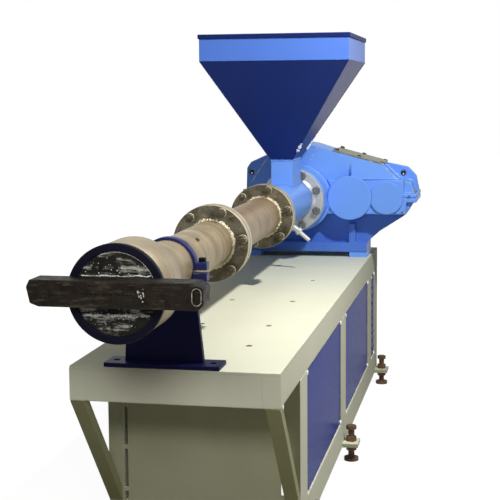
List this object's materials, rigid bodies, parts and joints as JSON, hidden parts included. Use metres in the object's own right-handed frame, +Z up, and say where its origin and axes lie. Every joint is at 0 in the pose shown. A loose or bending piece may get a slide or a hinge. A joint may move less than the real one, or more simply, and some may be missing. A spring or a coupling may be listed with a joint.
{
  "type": "plastic pelletizing machine",
  "caption": "Single-screw plastic pelletizing extruder: strand die bar, flanged barrel, square feed hopper and parallel-shaft gearbox on a panelled steel table.",
  "frame": {"origin": "on the floor, under the middle of the bounding box", "axes": "+Y along the machine from the die end to the gearbox end, +X to the side that the gearbox overhangs, +Z up"},
  "size_m": [0.878, 3.205, 1.652],
  "materials": {
    "frame_cream": "satin",
    "panel_blue": "gloss",
    "machine_blue": "gloss",
    "navy": "satin",
    "hopper_navy": "satin",
    "shell_steel": "brushed",
    "dark_flange": "satin",
    "die_black": "oily",
    "flange_grey": "satin",
    "rust": "matt"
  },
  "bodies": {
    "root": {"table_top": "frame_cream", "top_rail_front": "frame_cream", "top_rail_rear": "frame_cream", "top_rail_left": "frame_cream", "top_rail_right": "frame_cream", "side_frame_left": "frame_cream", "side_frame_right": "frame_cream", "bottom_rail_front": "frame_cream", "bottom_rail_rear": "frame_cream", "brace_left": "frame_cream", "brace_right": "frame_cream", "front_panel": "frame_cream", "rear_panel": "panel_blue", "side_panel_left_front": "panel_blue", "side_panel_left_rear": "panel_blue", "side_panel_right_front": "panel_blue", "side_panel_right_rear": "panel_blue", "vent_panel_left": "panel_blue", "vent_panel_right": "panel_blue", "foot_brackets": "frame_cream", "levelling_feet": "rust", "barrel_stand": "navy", "clamp_ring": "navy", "head_ring": "navy", "die_face": "die_black", "die_bar": "die_black", "head_shell": "shell_steel", "barrel_front": "shell_steel", "flange_1_front": "dark_flange", "flange_1_rear": "dark_flange", "barrel_middle": "shell_steel", "flange_2_front": "dark_flange", "flange_2_rear": "dark_flange", "feed_body": "machine_blue", "feed_screw": "flange_grey", "gearbox_flange": "flange_grey", "cooling_nipple": "flange_grey", "feed_chute": "machine_blue", "hopper_cone": "hopper_navy", "hopper_band": "machine_blue", "hopper_rim": "navy", "gearbox_lower": "machine_blue", "gearbox_upper": "machine_blue", "gearbox_cover_plate": "flange_grey", "bearing_cover_middle": "machine_blue", "bearing_cover_input": "machine_blue", "gearbox_pedestal": "machine_blue", "packing_strips": "machine_blue", "input_shaft": "flange_grey"}
  },
  "joints": []
}
